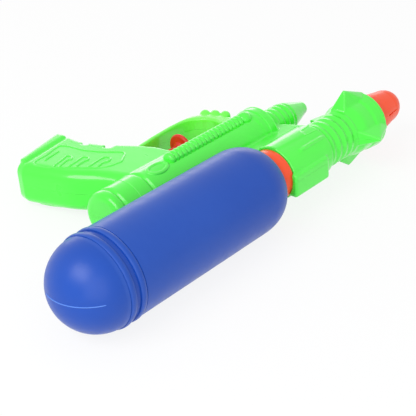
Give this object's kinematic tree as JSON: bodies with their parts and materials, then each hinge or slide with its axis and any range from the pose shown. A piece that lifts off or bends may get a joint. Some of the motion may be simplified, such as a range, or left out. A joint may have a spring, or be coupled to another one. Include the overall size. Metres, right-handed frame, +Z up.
{
  "type": "toy water pistol",
  "caption": "Toy water pistol lying on its side: screw-on bottle tank behind a finned barrel, tube receiver, pistol grip, looped guard and a push trigger that works an inner pump.",
  "frame": {"origin": "bottom centre of the bounding box, on the surface the toy lies on", "axes": "+X forward along the tank and barrel axis to the nozzle, +Y towards the butt of the grip, +Z up from the surface"},
  "size_m": [0.267, 0.1458, 0.0493],
  "materials": {
    "green_shell": "gloss",
    "blue_tank": "satin",
    "orange_plastic": "gloss",
    "red_plastic": "gloss",
    "grey_plastic": "matt",
    "clear_hose": "satin",
    "black_rubber": "matt",
    "steel": "bright"
  },
  "bodies": {
    "body": {"left_body_shell": "green_shell", "right_body_shell": "green_shell", "tank_socket": "orange_plastic", "dip_tube": "clear_hose", "nozzle_tip": "orange_plastic", "nozzle_jet": "grey_plastic", "pump_cylinder": "grey_plastic", "return_spring": "steel", "inlet_valve_body": "grey_plastic", "inlet_valve_plug": "grey_plastic", "outlet_valve_body": "grey_plastic", "outlet_valve_plug": "grey_plastic", "inlet_hose": "clear_hose", "outlet_hose": "clear_hose", "shell_screw_1": "steel", "shell_screw_2": "steel", "shell_screw_3": "steel", "shell_screw_4": "steel", "shell_screw_5": "steel", "shell_screw_6": "steel"},
    "trigger": {"trigger": "red_plastic", "pump_piston": "grey_plastic", "piston_seal": "black_rubber"},
    "seal": {"tank_seal": "black_rubber"},
    "tank": {"water_tank": "blue_tank"},
    "inlet_ball": {"inlet_valve_ball": "steel"},
    "outlet_ball": {"outlet_valve_ball": "steel"}
  },
  "joints": [
    {"name": "trigger_pull", "type": "slide", "parent": "body", "child": "trigger", "axis": [-1, 0, 0], "range_m": [0, 0.01], "stiffness_N_per_m": 300, "springref_m": -0.006, "deforming": ["return_spring"]},
    {"name": "tank_back_off", "type": "slide", "parent": "body", "child": "seal", "axis": [-1, 0, 0], "range_m": [0, 0.008]},
    {"name": "tank_unscrew", "type": "hinge", "parent": "seal", "child": "tank", "pos_m": [-0.1035, -0.04839, 0.02475], "axis": [-1, 0, 0], "range_deg": [0, 720]},
    {"name": "inlet_ball_lift", "type": "slide", "parent": "body", "child": "inlet_ball", "axis": [0, 0.9948, -0.1023], "range_m": [0, 0.0015]},
    {"name": "outlet_ball_lift", "type": "slide", "parent": "body", "child": "outlet_ball", "axis": [0, -0.9948, 0.1023], "range_m": [0, 0.0015]}
  ],
  "couplings": [
    {"joint": "tank_back_off", "follows": "tank_unscrew", "m_per_rad": 0.0006366}
  ]
}
